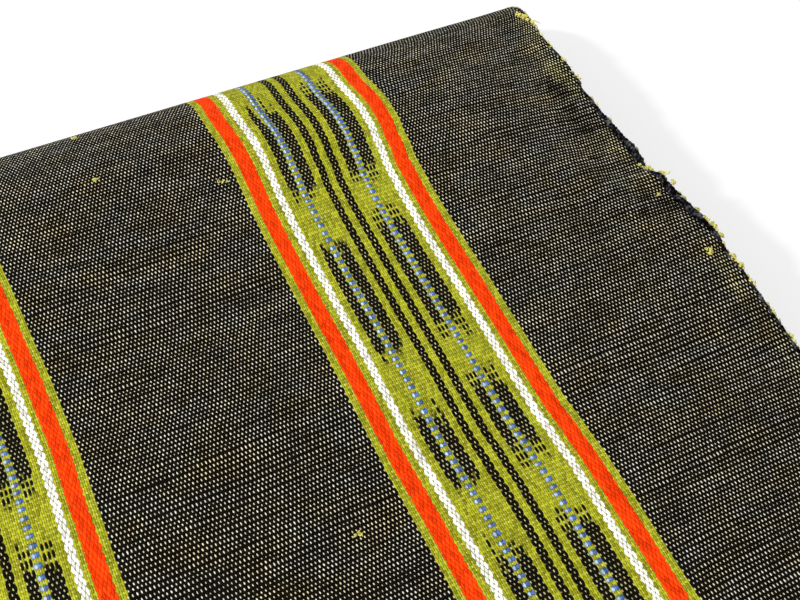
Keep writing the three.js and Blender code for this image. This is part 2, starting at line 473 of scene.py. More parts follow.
def strands(name, paths, radii, sides, facing):
    """Round yarns, each a circle of "sides" points carried along a path and closed with a point at both
    ends. paths is (yarns, steps, 3), radii is (yarns, steps), and facing a direction that no yarn runs
    along."""
    count, steps, _ = paths.shape
    run = np.gradient(paths, axis=1)
    run /= np.linalg.norm(run, axis=-1, keepdims=True) + 1e-12
    side = np.cross(run, np.broadcast_to(facing, paths.shape))
    side /= np.linalg.norm(side, axis=-1, keepdims=True) + 1e-12
    up = np.cross(side, run)
    angle = 2 * np.pi * np.arange(sides) / sides
    ring = (
        np.cos(angle)[None, None, :, None] * side[:, :, None, :]
        + np.sin(angle)[None, None, :, None] * up[:, :, None, :]
    )
    body = paths[:, :, None, :] + radii[:, :, None, None] * ring
    body[..., 2] = np.maximum(body[..., 2], FLOOR_GAP)
    ends = np.stack([
        paths[:, 0] - run[:, 0] * radii[:, :1],
        paths[:, -1] + run[:, -1] * radii[:, -1:],
    ], axis=1)
    ends[..., 2] = np.maximum(ends[..., 2], FLOOR_GAP)
    points = np.concatenate([body.reshape(-1, 3), ends.reshape(-1, 3)])

    grid = np.arange(count * steps * sides).reshape(count, steps, sides)
    after = np.roll(grid, -1, axis=2)
    walls = np.stack([grid[:, :-1], grid[:, 1:], after[:, 1:], after[:, :-1]], axis=-1).reshape(-1, 4)
    first = count * steps * sides + 2 * np.arange(count)
    first = np.broadcast_to(first[:, None], (count, sides))
    start_caps = np.stack([grid[:, 0], after[:, 0], first], axis=-1).reshape(-1, 3)
    end_caps = np.stack([after[:, -1], grid[:, -1], first + 1], axis=-1).reshape(-1, 3)
    return new_mesh(name, points, walls.tolist() + start_caps.tolist() + end_caps.tolist())


# The weft's turns at a selvedge: points along each and round it, the weft's radius, how far in from the
# edge a turn begins, how far it bulges out, how many degrees it goes to either side, and where the first
# one lies
TURN_POINTS = 7
TURN_SIDES = 6
WEFT_RADIUS = 0.21
TURN_DEPTH = 1.0
TURN_BULGE = 0.16
TURN_ROUND = 82
FIRST_TURN = 1.5


def make_weft_turns(name, side, seed):
    """One small half loop for every second row: round the rim from the face to the back, a row further
    along. Its place is the rim's own ellipse, a little outside it."""
    random = np.random.default_rng(seed)
    starts = np.arange(FIRST_TURN, LENGTH - 3 * ROW_PITCH, 2 * ROW_PITCH)[:, None]
    t = np.linspace(-1, 1, TURN_POINTS)[None, :]
    angle = t * math.radians(TURN_ROUND)
    slack = random.uniform(0.55, 1.35, starts.shape)
    x = side * (WIDTH / 2 - TURN_DEPTH + (TURN_DEPTH + TURN_BULGE * slack) * np.cos(angle))
    lift = (THICKNESS / 2 + 0.02) * np.sin(angle)
    along = starts + ROW_PITCH * (t + 1) / 2 + random.uniform(-0.2, 0.2, starts.shape)
    radius = WEFT_RADIUS * random.uniform(0.75, 1.25, starts.shape) * (1 - 0.35 * t ** 4)
    return strands(name, place(x, along, lift), MM * radius, TURN_SIDES, np.array([0.0, 1.0, 0.05]))


# The bundles of edge warps that roll over the right selvedge. Rows of each: along, x, lift, radius
EDGE_BUNDLES = {
    "rolled": [
        (161, 119.7, 0.40, 0.24), (156, 119.6, 0.50, 0.40), (150, 119.5, 0.60, 0.58),
        (145, 119.4, 0.70, 0.72), (140, 119.4, 0.80, 0.80), (135, 119.2, 0.95, 0.95),
        (132.5, 119.0, 1.05, 1.08), (130, 118.8, 0.90, 0.92), (128.4, 118.4, 0.55, 0.45),
    ],
    "lower": [
        (127.4, 118.7, 0.40, 0.26), (124.5, 119.0, 0.60, 0.70), (118, 119.1, 0.75, 0.98),
        (110, 119.1, 0.75, 0.96), (106, 119.3, 0.60, 0.72), (100, 119.5, 0.50, 0.58),
        (94, 119.6, 0.45, 0.44), (84, 119.6, 0.45, 0.48), (74, 119.6, 0.45, 0.42), (64, 119.6, 0.45, 0.48),
        (52, 119.6, 0.45, 0.40), (40, 119.6, 0.45, 0.46), (22, 119.6, 0.40, 0.38), (6, 119.6, 0.38, 0.32),
        (2, 119.6, 0.3, 0.18),
    ],
    "upper": [
        (179, 119.6, 0.42, 0.22), (175, 119.6, 0.45, 0.36), (168, 119.7, 0.45, 0.38),
        (163, 119.7, 0.42, 0.26),
    ],
    "corner": [
        (197, 119.0, 0.40, 0.22), (191, 119.4, 0.45, 0.38), (187, 119.5, 0.45, 0.34),
        (183, 119.5, 0.40, 0.22),
    ],
}
# A bundle's plies: how many, points round each, the step along and the length of one turn, and then, as
# shares of the bundle's radius, how far each lies from its middle, its size, how much knots swell and where
# the grooves' painted shade begins
PLIES = 3
PLY_SIDES = 10
PLY_STEP = 0.17
PLY_TWIST = 2.1
PLY_PLACE = 0.52
PLY_SIZE = 0.47
KNOT = 0.22
GROOVE = 0.76
# How fast the knots of the bundle and of a ply come and go, in radians for each millimetre, and how the
# twist varies
KNOT_BEAT = 0.83
PLY_BEAT = 4.4
TWIST_SWING = 0.35
TWIST_RUN = 5.3


def make_bundle(name, table):
    """Plies round one line: each keeps a part of the bundle's radius from it and turns once in PLY_TWIST,
    and the whole swells and narrows once a row, where the weft grips it. "open" is 1 outside and 0 in the
    grooves, which are painted with shade."""
    rows = sorted(table)
    along = np.arange(rows[0][0], rows[-1][0], PLY_STEP)
    x, lift, radius = (read_table(rows, k, along) for k in (1, 2, 3))
    radius = radius * (1 + KNOT * np.sin(2 * np.pi * along / ROW_PITCH) * np.sin(along * KNOT_BEAT))
    phase = 2 * np.pi * (along / PLY_TWIST + TWIST_SWING * np.sin(along / TWIST_RUN))
    paths, radii = [], []
    for ply in range(PLIES):
        angle = phase + 2 * np.pi * ply / PLIES
        sideways = PLY_PLACE * radius * np.cos(angle)
        paths.append(place(x + sideways, along, lift + PLY_PLACE * radius * np.sin(angle)))
        radii.append(MM * radius * PLY_SIZE * (1 + KNOT * np.sin(along * PLY_BEAT + 2 * ply)))
    bundle = strands(name, np.array(paths), np.array(radii), PLY_SIDES, np.array([0.0, 0.0, 1.0]))
    middle = np.tile(np.repeat(place(x, along, lift), PLY_SIDES, axis=0), (PLIES, 1))
    reach = np.tile(np.repeat(MM * radius, PLY_SIDES), PLIES)
    points = np.empty(3 * len(bundle.data.vertices), np.float32)
    bundle.data.vertices.foreach_get("co", points)
    away = np.linalg.norm(points.reshape(-1, 3)[:len(middle)] - middle, axis=1) / reach
    # 1 on a ply's outside, easing to 0 where the grooves are painted with shade
    deep = np.zeros((len(bundle.data.vertices), 3))
    deep[:len(middle), 0] = np.clip((away - GROOVE) / (1 - GROOVE), 0, 1)
    write_values(bundle.data, "unshaded", deep)
    return bundle


# Turns of weft that show outside a bundle as beads: stretches of the selvedge and the share that shows
BEADS = [(2, 104, 0.75), (104, 128, 0.7), (128, 146, 0.35), (146, 162, 0.4), (162, 196, 0.5)]
BEAD_RADIUS = 0.28
# The selvedge where no bundle lies, with the columns of EDGE_BUNDLES
BARE_EDGE = (0, 119.8, 0.35, 0.2)


def make_beads(name, seed):
    """Half loops of weft over the bundles' outer side: a part of a circle of the bundle's own radius."""
    random = np.random.default_rng(seed)
    starts = np.arange(BEADS[0][0], BEADS[-1][1], 2 * ROW_PITCH)
    share = sum(np.where((starts >= low) & (starts < high), part, 0) for low, high, part in BEADS)
    starts = starts[random.uniform(0, 1, len(starts)) < share][:, None]
    one = starts.shape
    tables = [sorted(rows) for rows in EDGE_BUNDLES.values()]

    def nearest(column):
        found = np.full(one, BARE_EDGE[column], float)
        for rows in tables:
            inside = (starts >= rows[0][0]) & (starts <= rows[-1][0])
            found = np.where(inside, read_table(rows, column, starts), found)
        return found

    t = np.linspace(-1, 1, TURN_POINTS)[None, :]
    tilt = random.uniform(-0.2, 0.5, one)
    angle = tilt + t * random.uniform(0.5, 1.1, one)
    reach = nearest(3) * 1.02 + 0.10
    x = nearest(1) + reach * np.cos(angle)
    lift = nearest(2) + reach * np.sin(angle)
    along = starts + 0.5 * t + random.uniform(-0.5, 0.5, one)
    radius = BEAD_RADIUS * random.uniform(0.8, 1.3, one) * (1 - 0.4 * t ** 4)
    return strands(name, place(x, along, lift), MM * radius, TURN_SIDES, np.array([0.0, 1.0, 0.05]))


# Tufts of loose weft: along, x, lift, how far it spreads across and along, and how many curls
TUFTS = [
    (188.8, 117.6, 0.75, 0.8, 1.1, 14),
    (186.2, 118.6, 0.75, 0.9, 1.1, 15),
    (183.4, 119.5, 0.7, 0.5, 1.2, 4),
    (173.0, 120.0, 0.5, 0.3, 1.4, 2),
    (166.5, 119.9, 0.6, 0.3, 0.8, 3),
    (160.0, 120.1, 0.6, 0.3, 1.0, 3),
    (129.0, 118.2, 0.9, 0.6, 0.5, 4),
    (127.0, 119.4, 0.8, 0.6, 0.7, 6),
    (124.6, 120.2, 0.9, 0.4, 0.8, 5),
    (121.0, 120.6, 0.7, 0.3, 0.8, 4),
    (111.0, 120.5, 0.7, 0.3, 0.8, 3),
    (109.0, 119.8, 0.9, 0.6, 0.9, 7),
    (107.0, 120.2, 0.9, 0.6, 1.1, 10),
    (105.0, 120.5, 0.9, 0.6, 0.9, 9),
    (102.0, 120.3, 0.8, 0.5, 0.9, 8),
    (99.5, 115.3, 0.75, 0.7, 0.7, 6),
    (96.5, 120.2, 0.8, 0.5, 1.2, 9),
    (93.0, 120.3, 0.7, 0.4, 0.8, 5),
    (88.5, 120.2, 0.7, 0.3, 0.9, 4),
    (80.0, 120.2, 0.6, 0.3, 0.8, 2),
    (73.0, 120.2, 0.6, 0.3, 0.8, 3),
]
# Slubs of yellow weft that stand out of the ground: along, x, lift, spreads, curls
SLUBS = [
    (194.0, -1.5, 0.62, 0.9, 0.25, 6),
    (173.5, -1.5, 0.62, 1.0, 0.25, 6),
    (161.0, 23.8, 0.62, 0.8, 0.25, 5),
    (71.5, 16.0, 0.62, 0.8, 0.3, 5),
    (119.0, 115.6, 0.62, 0.5, 0.3, 4),
    (48.0, -84.0, 0.62, 0.9, 0.25, 5),
    (132.0, -101.0, 0.62, 0.8, 0.25, 4),
]
CURL_POINTS = 9
CURL_SIDES = 5


def make_tufts(name, table, seed, thread, reach):
    """Short curling ends of weft. Each runs from a point of its tuft along a bent and wavy line over the
    cloth: a straight run in a random direction, a half turn's bend and a small wave."""
    random = np.random.default_rng(seed)
    t = np.linspace(-1, 1, CURL_POINTS)[None, :]
    rows = np.concatenate([np.tile(row[:5], (row[5], 1)) for row in table])
    count = len(rows)
    one = (count, 1)
    along0, x0, lift0, wide, long = rows.T[:, :, None]
    heading = random.normal(0, 1.0, one)
    bend = np.where(random.uniform(0, 1, one) < 0.5, -1, 1) * random.uniform(0.9, 2.3, one)
    half = reach * random.uniform(0.5, 1.1, one)
    turned = heading + bend * t
    wave = 0.12 * np.sin(5 * t + random.uniform(0, 6.28, one))
    x = x0 + wide * random.normal(0, 0.5, one) + half * t * np.cos(turned) + wave
    along = along0 + long * random.normal(0, 0.6, one) + half * t * np.sin(turned) + wave
    lift = lift0 + random.uniform(-0.15, 0.3, one) + 0.18 * np.cos(2.2 * t + random.uniform(0, 6.28, one))
    radius = thread * random.uniform(0.7, 1.3, one) * (1 - 0.45 * t ** 2)
    return strands(name, place(x, along, lift), MM * radius, CURL_SIDES, np.array([0.02, 0.03, 1.0]))


STRAY_END = {"x": 119.2, "along": 184.0, "lift": 0.6, "radius": 0.17, "points": 14, "sides": 6}


def make_stray_end(name):
    """The one weft end that sticks out beside the far corner: a shallow curve away from the selvedge."""
    t = np.linspace(0, 1, STRAY_END["points"])
    x = STRAY_END["x"] + 2.4 * t
    along = STRAY_END["along"] - 2.2 * t + 0.7 * np.sin(3.4 * t)
    lift = STRAY_END["lift"] + 0.7 * t - 0.5 * t ** 2
    radius = STRAY_END["radius"] * (1 - 0.6 * t ** 2)
    facing = np.array([0.0, 0.0, 1.0])
    return strands(name, place(x, along, lift)[None], MM * radius[None], STRAY_END["sides"], facing)


# Fuzz of fine fibres on the right selvedge and over the face: how thick, points along each, and how far to
# either side of the middle and how far along the face they go
FUZZ_RADIUS = 0.028
FUZZ_POINTS = 5
FUZZ_ASIDE = 118
FUZZ_ALONG = (2, 222)


def make_fuzz(name, seed, count_edge, count_face):
    """Fine fibres: each leaves the cloth at a slant and bends back, a quarter of a small circle."""
    random = np.random.default_rng(seed)
    count = count_edge + count_face
    one = (count, 1)
    at_edge = (np.arange(count) < count_edge)[:, None]
    t = np.linspace(0, 1, FUZZ_POINTS)[None, :]

    def either(at_selvedge, on_face):
        return np.where(at_edge, at_selvedge, on_face)

    x0 = either(WIDTH / 2 - random.uniform(-0.1, 0.5, one), random.uniform(-FUZZ_ASIDE, FUZZ_ASIDE, one))
    along0 = either(random.uniform(2, 225, one), random.uniform(*FUZZ_ALONG, one))
    lift0 = either(random.uniform(-0.2, 0.5, one), THICKNESS / 2 - 0.03)
    length = random.uniform(0.35, 1.1, one) * np.where(at_edge, 1.0, 0.8)
    heading = random.uniform(0, 2 * np.pi, one)
    out = np.where(at_edge, np.abs(np.cos(heading)), np.cos(heading))
    rise = random.uniform(0.25, 0.9, one)
    x = x0 + length * out * np.sin(1.4 * t)
    along = along0 + length * np.sin(heading) * np.sin(1.2 * t)
    lift = lift0 + length * rise * np.sin(1.7 * t) * 0.5
    radius = FUZZ_RADIUS * (1.1 - 0.8 * t) * np.ones(one)
    return strands(name, place(x, along, lift), MM * radius, 3, np.array([0.31, 0.17, 0.93]))


class Net:
    """Short names for laying out a node tree. Each call adds a node and gives back its output."""

    def __init__(self, tree):
        self.tree = tree

    def add(self, kind, inputs=(), **settings):
        node = self.tree.nodes.new("ShaderNode" + kind)
        for key, value in settings.items():
            setattr(node, key, value)
        for key, value in dict(inputs).items():
            self.feed(node.inputs[key], value)
        return node

    def feed(self, socket, value):
        if isinstance(value, bpy.types.NodeSocket):
            self.tree.links.new(value, socket)
        elif value is not None:
            socket.default_value = value

    def math(self, operation, a, b=None, c=None):
        return self.add("Math", {0: a, 1: b, 2: c}, operation=operation).outputs[0]

    def plus(self, a, *more):
        for b in more:
            a = self.math("ADD", a, b)
        return a

    def minus(self, a, b):
        return self.math("SUBTRACT", a, b)

    def times(self, a, *more):
        for b in more:
            a = self.math("MULTIPLY", a, b)
        return a

    def scaled(self, a, by, offset=0.0):
        return self.math("MULTIPLY_ADD", a, by, offset)

    def swing(self, share, by):
        """A share from 0 to 1 made a value that swings by so much to either side of 0."""
        return self.scaled(share, 2 * by, -by)

    def smooth(self, value, low, high, to_low=0.0, to_high=1.0):
        """A smooth step of value from low to high, put out between to_low and to_high."""
        names = {"Value": value, "From Min": low, "From Max": high, "To Min": to_low, "To Max": to_high}
        return self.add("MapRange", names, interpolation_type="SMOOTHSTEP").outputs[0]

    def point(self, x, y, z=0.0):
        return self.add("CombineXYZ", {0: x, 1: y, 2: z}).outputs[0]

    def parts(self, vector):
        return self.add("SeparateXYZ", {0: vector}).outputs

    def attribute(self, name):
        """The three numbers of one of the piece's own attributes."""
        return self.parts(self.add("Attribute", attribute_name=name).outputs["Vector"])

    def noise(self, at, scale=1.0, detail=0.0, roughness=0.5):
        inputs = {"Vector": at, "Scale": scale, "Detail": detail, "Roughness": roughness}
        return self.add("TexNoise", inputs, noise_dimensions="3D").outputs[0]

    def cloth_noise(self, ends, rows, run, salt, detail=0.0, roughness=0.5):
        """Noise over the flat cloth that moves on by "run" for each end and each row."""
        at = self.point(self.times(ends, run[0]), self.times(rows, run[1]), salt)
        return self.noise(at, 1.0, detail, roughness)

    def chance(self, x, y, salt=0.0):
        """A value from 0 to 1 that is fixed for each pair of whole numbers."""
        at = self.point(self.plus(x, 0.5), self.plus(y, 0.5), salt)
        return self.add("TexWhiteNoise", {"Vector": at}, noise_dimensions="3D").outputs[0]

    def blend(self, share, a, b, how="MIX"):
        node = self.add("Mix", data_type="RGBA", blend_type=how, clamp_factor=True)
        for socket, value in zip((0, 6, 7), (share, a, b)):
            self.feed(node.inputs[socket], value)
        return node.outputs[2]

    def dyed_with(self, colour, dye):
        """A colour seen through another: the product of the two."""
        return self.blend(1.0, colour, dye, "MULTIPLY")

    def lit(self, colour, light):
        """A colour with all its channels multiplied by one number."""
        return self.dyed_with(colour, self.point(light, light, light))

    def between(self, share, a, b):
        node = self.add("Mix", data_type="FLOAT", clamp_factor=True)
        for socket, value in zip((0, 2, 3), (share, a, b)):
            self.feed(node.inputs[socket], value)
        return node.outputs[0]

    def ramp(self, share, stops, steps=True):
        """A colour ramp through (position, colour) stops, in steps or straight from one to the next."""
        node = self.add("ValToRGB", {0: share})
        ramp = node.color_ramp
        ramp.interpolation = "CONSTANT" if steps else "LINEAR"
        while len(ramp.elements) < len(stops):
            ramp.elements.new(1.0)
        for element, (position, colour) in zip(ramp.elements, stops):
            element.position = position
            element.color = colour
        return node.outputs[0]

    def group(self, tree, inputs):
        node = self.tree.nodes.new("ShaderNodeGroup")
        node.node_tree = tree
        for name, value in inputs.items():
            self.feed(node.inputs[name], value)
        return node.outputs


def new_group(name, inputs, numbers, colours=()):
    """An empty node group. inputs holds each input's own value, a number or a vector, and numbers and
    colours name its outputs. Gives its net, its inputs by name and a call that sets an output."""
    tree = bpy.data.node_groups.new(name, "ShaderNodeTree")
    for socket, value in inputs.items():
        kind = "NodeSocketVector" if isinstance(value, tuple) else "NodeSocketFloat"
        tree.interface.new_socket(socket, in_out="INPUT", socket_type=kind).default_value = value
    for sockets, kind in ((numbers, "NodeSocketFloat"), (colours, "NodeSocketColor")):
        for socket in sockets:
            tree.interface.new_socket(socket, in_out="OUTPUT", socket_type=kind)
    net = Net(tree)
    given = tree.nodes.new("NodeGroupInput").outputs
    taken = tree.nodes.new("NodeGroupOutput").inputs
    return net, given, lambda socket, value: net.feed(taken[socket], value)


def srgb(red, green, blue):
    """A colour given as 0 to 255 display values, made linear."""
    channels = (value / 255 for value in (red, green, blue))
    linear = [v / 12.92 if v <= 0.04045 else ((v + 0.055) / 1.055) ** 2.4 for v in channels]
    return (*linear, 1.0)


# Yarn colours: the warp thread itself, and the weft where it shows between two floats of that yarn. The
# weft is one pale yarn; its colour here is painted with the floats' shade and their colour reflected onto
# it, so it is grey among white floats and dark orange among orange ones. The outer ends of a black line, its
# rim, show hardly any weft.
YARNS = {
    "black": {"warp": srgb(17, 14, 8), "weft": srgb(211, 207, 191)},
    "olive": {"warp": srgb(150, 153, 29), "weft": srgb(194, 190, 104)},
    "orange": {"warp": srgb(253, 65, 10), "weft": srgb(214, 44, 12)},
    "white": {"warp": srgb(248, 247, 230), "weft": srgb(128, 126, 108)},
    "line": {"warp": srgb(18, 15, 8), "weft": srgb(196, 192, 150)},
    "line rim": {"warp": srgb(18, 15, 8), "weft": srgb(58, 55, 34)},
    "dyed": {"warp": srgb(19, 17, 7), "weft": srgb(176, 172, 138)},
}

# The band from its left edge: how many warp ends of which yarn. The ikat and blue stripes are in olive yarn.
BLACK_LINE = [(1, "line rim"), (2, "line"), (1, "line rim")]
BAND = [
    (4, "olive"), (8, "orange"), (4, "olive"), (4, "white"), (4, "olive"),
    (5, "ikat left"), (4, "blue and olive"), (6, "ikat left"),
    (4, "olive"), *BLACK_LINE, (4, "olive"), *BLACK_LINE, (4, "olive"),
    (5, "ikat right"), (4, "blue and olive"), (7, "ikat right"),
    (4, "olive"), (4, "white"), (3, "olive"), (8, "orange"), (4, "olive"),
]
STRIPE_REPEAT = BAND_ENDS + MIDDLE_ENDS
# The ramps run over the band and a little of the ground, so that they have a few steps for each end
RAMP_ENDS = BAND_ENDS + 4
NO_IKAT = (0, 0, 0, 1)
IKAT = {"ikat left": (1, 0, 0, 1), "ikat right": (0, 1, 0, 1)}


def stripe_stops(colour_of):
    """Ramp stops for the band's stripes, then the ground."""
    stops, ends = [], 0
    for count, yarn in [*BAND, (MIDDLE_ENDS, "black")]:
        stops.append((ends / RAMP_ENDS, colour_of(yarn)))
        ends += count
    return stops


def yarn_colour(column):
    return lambda yarn: YARNS[yarn if yarn in YARNS else "olive"][column]


# How much a float swells in its own row: 0 keeps every end as wide as the next, 1 makes it a lozenge
SWELL = 0.8

# How the threads wander in the cloth: how far each noise moves on for an end and a row, its salt, and its
# swing
WIDE_WAVE = ((0.006, 0.035), 3.1, 2.0)
ROW_WAVE = ((0.02, 0.40), 7.7, 0.45)
END_WAVE = ((0.09, 0.05), 1.3, 0.5)


def threads_group():
    """Which warp end and which row a place belongs to.

    In a warp-faced plain weave every other end is on top in a row, and the next row has the ends between.
    Each float swells past its neighbours in its own row and narrows until the next, so the border between
    two ends swings from side to side by half of SWELL. Across and Down are the distances from the float's
    middle, in ends and rows. Ends and Rows are the place itself, with the threads' wander."""
    net, given, put = new_group(
        "thread grid", {"Threads": (0, 0, 0)}, ("End", "Row", "Across", "Down", "Ends", "Rows")
    )
    flat_ends, flat_rows, _ = net.parts(given["Threads"])

    def wave(run, salt, by):
        return net.swing(net.cloth_noise(flat_ends, flat_rows, run, salt, 1.0), by)

    rows = net.plus(flat_rows, wave(*WIDE_WAVE), wave(*ROW_WAVE))
    ends = net.plus(flat_ends, wave(*END_WAVE))
    left_end = net.math("FLOOR", ends)
    parity = net.math("FLOORED_MODULO", left_end, 2.0)
    pair = net.math("ROUND", net.times(net.minus(rows, parity), 0.5))
    left_row = net.plus(net.times(pair, 2.0), parity)
    off_row = net.minus(rows, left_row)
    border = net.scaled(net.math("ABSOLUTE", off_row), -SWELL, 0.5 + 0.5 * SWELL)
    on_right = net.math("GREATER_THAN", net.minus(ends, left_end), border)
    end = net.plus(left_end, on_right)
    row = net.plus(left_row, net.times(on_right, net.math("SIGN", off_row)))
    put("End", end)
    put("Row", row)
    put("Across", net.minus(ends, end))
    put("Down", net.minus(rows, row))
    put("Ends", ends)
    put("Rows", rows)
    return net.tree


def blue_middles():
    """The middles of the blue stripes, in ends from the band's first end."""
    ends, middles = 0, []
    for count, yarn in BAND:
        if yarn == "blue and olive":
            middles.append(ends + (count - 1) / 2)
        ends += count
    return middles


# The blue ovals: how far each lies from the stripe's middle, and half its width in ends and height in rows
BLUE_ASIDE = 0.88
BLUE_HALF_WIDE = 1.02
BLUE_HALF_TALL = 0.60
# Where an oval fades out and where it is whole, and how far from the stripe's middle its two sides differ
BLUE_FADE = (1.2, 0.75)
BLUE_SIDES = (-0.7, 0.7)
# How much of their height grows with the raggedness of the ties
BLUE_GROWS = 0.42
# The blue yarn where it comes up, on the left and on the right of a bead, and the painted shade at its rim
BLUE_LEFT = srgb(164, 188, 216)
BLUE_RIGHT = srgb(70, 98, 156)
BLUE_RIM_SHADE = srgb(40, 56, 96)


def stripes_group():
    """The yarn of a warp end, by the band's chart: its thread colour, its weft colour with the floats'
    painted shade and reflection, and the ikat stripes.

    In a blue stripe two blue ends come up side by side in every other row: Blue is an oval round each of
    them, Tall times its usual height, Lobe grows from 0 at its middle to 1 at its rim, and Side goes from 0
    on the left one to 1 on the right one."""
    net, given, put = new_group(
        "striped warp",
        {"End": 0.0, "Ends": 0.0, "Rows": 0.0, "Tall": 1.0},
        ("Left ikat", "Right ikat", "Blue", "Lobe", "Side"),
        ("Warp", "Weft"),
    )

    def from_band(ends):
        return net.math("FLOORED_MODULO", net.plus(ends, 0.5 - BORDER_ENDS), float(STRIPE_REPEAT))

    share = net.times(from_band(given["End"]), 1 / RAMP_ENDS)
    put("Warp", net.ramp(share, stripe_stops(yarn_colour("warp"))))
    put("Weft", net.ramp(share, stripe_stops(yarn_colour("weft"))))
    ikat = net.ramp(share, stripe_stops(lambda yarn: IKAT.get(yarn, NO_IKAT)))
    left, right, _ = net.add("SeparateColor", {0: ikat}).outputs
    put("Left ikat", left)
    put("Right ikat", right)
    place_in_band = from_band(given["Ends"])
    first, second = (middle + 0.5 for middle in blue_middles())
    in_second = net.math("GREATER_THAN", place_in_band, (first + second) / 2)
    offset = net.minus(net.minus(place_in_band, first), net.times(in_second, second - first))
    aside = net.math("ABSOLUTE", net.minus(net.math("ABSOLUTE", offset), BLUE_ASIDE))
    aside = net.times(aside, 1 / BLUE_HALF_WIDE)
    blue_row = net.times(net.math("ROUND", net.times(given["Rows"], 0.5)), 2.0)
    off = net.math("DIVIDE", net.minus(given["Rows"], blue_row), net.times(given["Tall"], BLUE_HALF_TALL))
    lobe = net.plus(net.times(aside, aside), net.times(off, off))
    put("Blue", net.smooth(lobe, *BLUE_FADE))
    put("Lobe", lobe)
    put("Side", net.smooth(offset, *BLUE_SIDES))
    return net.tree


# How far, in millimetres, the dye runs on single ends, on a few ends together, and on single floats
TIE_SLIP = 0.8
TIE_WANDER = 3.4
TIE_SPECKLE = 1.1
TIE_WANDER_RUN = (0.9, 0.07)


def ikat_group():
    """How far the dye has taken on an end: its depth in the tied patch, put off by that end's own slip, by
    its parity and by a slow wander, so that the patch's ends are feathered and end in short bars. Soft is
    how many millimetres the dye takes to fade."""
    net, given, put = new_group(
        "tied dye",
        {"Depth": 0.0, "End": 0.0, "Row": 0.0, "Odd reach": 0.0, "Feather": 1.0, "Soft": 0.9},
        ("Dyed",),
    )
    end, row, soft = given["End"], given["Row"], given["Soft"]
    slip = net.swing(net.chance(end, 0.0, 11.5), TIE_SLIP)
    wander = net.swing(net.cloth_noise(end, row, TIE_WANDER_RUN, 2.2), TIE_WANDER)
    odd = net.plus(net.math("FLOORED_MODULO", end, 2.0), -0.5)
    depth = net.plus(
        given["Depth"],
        net.times(net.plus(slip, wander), given["Feather"]),
        net.times(odd, given["Odd reach"]),
        net.times(net.swing(net.chance(end, row, 4.5), TIE_SPECKLE), soft),
    )
    put("Dyed", net.smooth(depth, net.times(soft, -1.0), soft))
    return net.tree


# A spot of weft: half its width in ends and height in rows, and how far it leans over, in ends for each
# row, from the twist of the yarns round it
WEFT_WIDE = 0.28
WEFT_TALL = 0.245
WEFT_LEAN = 0.28
# Where the spot fades out and where it is whole, as squared distances in half widths, and its own low dome
WEFT_FADE = (1.60, 0.45)
WEFT_DOME = 0.52
WEFT_DOME_DROP = 0.14
# How far a float drops from its back to its ends and to its sides
FLOAT_END_DROP = 0.62
FLOAT_SIDE_DROP = 0.35


def weave_group():
    """The relief of one float and of the weft that shows at its four corners.

    The float is a pillow, rounded across and along. The weft shows as a leaning oval where four floats meet,
    beside the float and above it, WEFT_WIDE and WEFT_TALL in ends and rows, scaled by Size. Rough frays its
    outline."""
    net, given, put = new_group(
        "warp-faced weave",
        {"Across": 0.0, "Down": 0.0, "Size": 1.0, "Rough": 0.0},
        ("Weft", "Float", "Height"),
    )
    across = net.math("ABSOLUTE", given["Across"])
    down = net.math("ABSOLUTE", given["Down"])
    wide_by = net.times(given["Size"], WEFT_WIDE)
    tall_by = net.times(given["Size"], WEFT_TALL)

    def oval(aside, off):
        wide = net.math("DIVIDE", net.plus(aside, net.times(off, WEFT_LEAN)), wide_by)
        tall = net.math("DIVIDE", off, tall_by)
        return net.plus(net.times(wide, wide), net.times(tall, tall))

    beside = oval(net.minus(given["Across"], net.math("SIGN", given["Across"])), given["Down"])
    above = oval(given["Across"], net.minus(given["Down"], net.math("SIGN", given["Down"])))
    away = net.plus(net.math("MINIMUM", beside, above), given["Rough"])
    weft = net.smooth(away, *WEFT_FADE)
    # 1 on the float's border, and 0 or less on its back
    edge = net.plus(net.scaled(across, 1 / SWELL, 0.5 - 0.5 / SWELL), down)
    edge = net.math("MAXIMUM", edge, 0.0)
    round_end = net.times(net.times(edge, edge), FLOAT_END_DROP)
    round_side = net.times(net.times(across, across), FLOAT_SIDE_DROP)
    pillow = net.minus(1.0, net.plus(round_end, round_side))
    dome = net.scaled(away, -WEFT_DOME_DROP, WEFT_DOME)
    put("Weft", weft)
    put("Float", pillow)
    put("Height", net.between(weft, pillow, dome))
    return net.tree


def new_material(name, roughness, sheen, specular):
    material = bpy.data.materials.new(name)
    material.use_nodes = True
    shader = material.node_tree.nodes["Principled BSDF"]
    shader.inputs["Roughness"].default_value = roughness
    shader.inputs["Sheen Weight"].default_value = sheen
    shader.inputs["Sheen Roughness"].default_value = 0.5
    shader.inputs["Specular IOR Level"].default_value = specular
    return material, Net(material.node_tree), shader


RELIEF = 0.16 * MM

# The ties of the two ikat columns: how much further odd ends are dyed than even ones, and how many
# millimetres the dye takes to fade. The right column's ends are less ragged by this share.
LEFT_TIES = {"Odd reach": 1.6, "Soft": 1.3}
RIGHT_TIES = {"Odd reach": 4.6, "Soft": 0.9}
RIGHT_CALMER = 0.55

# How far the cotton's slow noises move on for each end and each row
SLUB_RUN = (0.017, 3.37)
PATCH_RUN = (0.036, 0.22)
TINT_RUN = (0.034, 0.17)
FIBRE_RUN = (3.2, 2.6)
# Short runs of a row where the weft doesn't show: how much of one an end is, how rare they are, and how
# much more common in a crease's painted shade
STROKE_RUN = 0.08
STROKE_SHIFT = 13.0
STROKE_RARE = 0.997
STROKE_CREASE = 0.42
# Where in its noise a thick pick begins to hide the weft and hides it most
HIDDEN_FROM = (0.63, 0.77)
# The size of a weft spot: the least, what its own chance, its row and a patch add, and by what share a
# hidden row, the painted shade of a crease and a pale place change it
SPOT = {"least": 0.84, "own": 0.26, "row": 0.06, "patch": 0.25, "hidden": -0.32, "dark": -0.2, "pale": 0.30}
SPOT_FRAY = 0.8
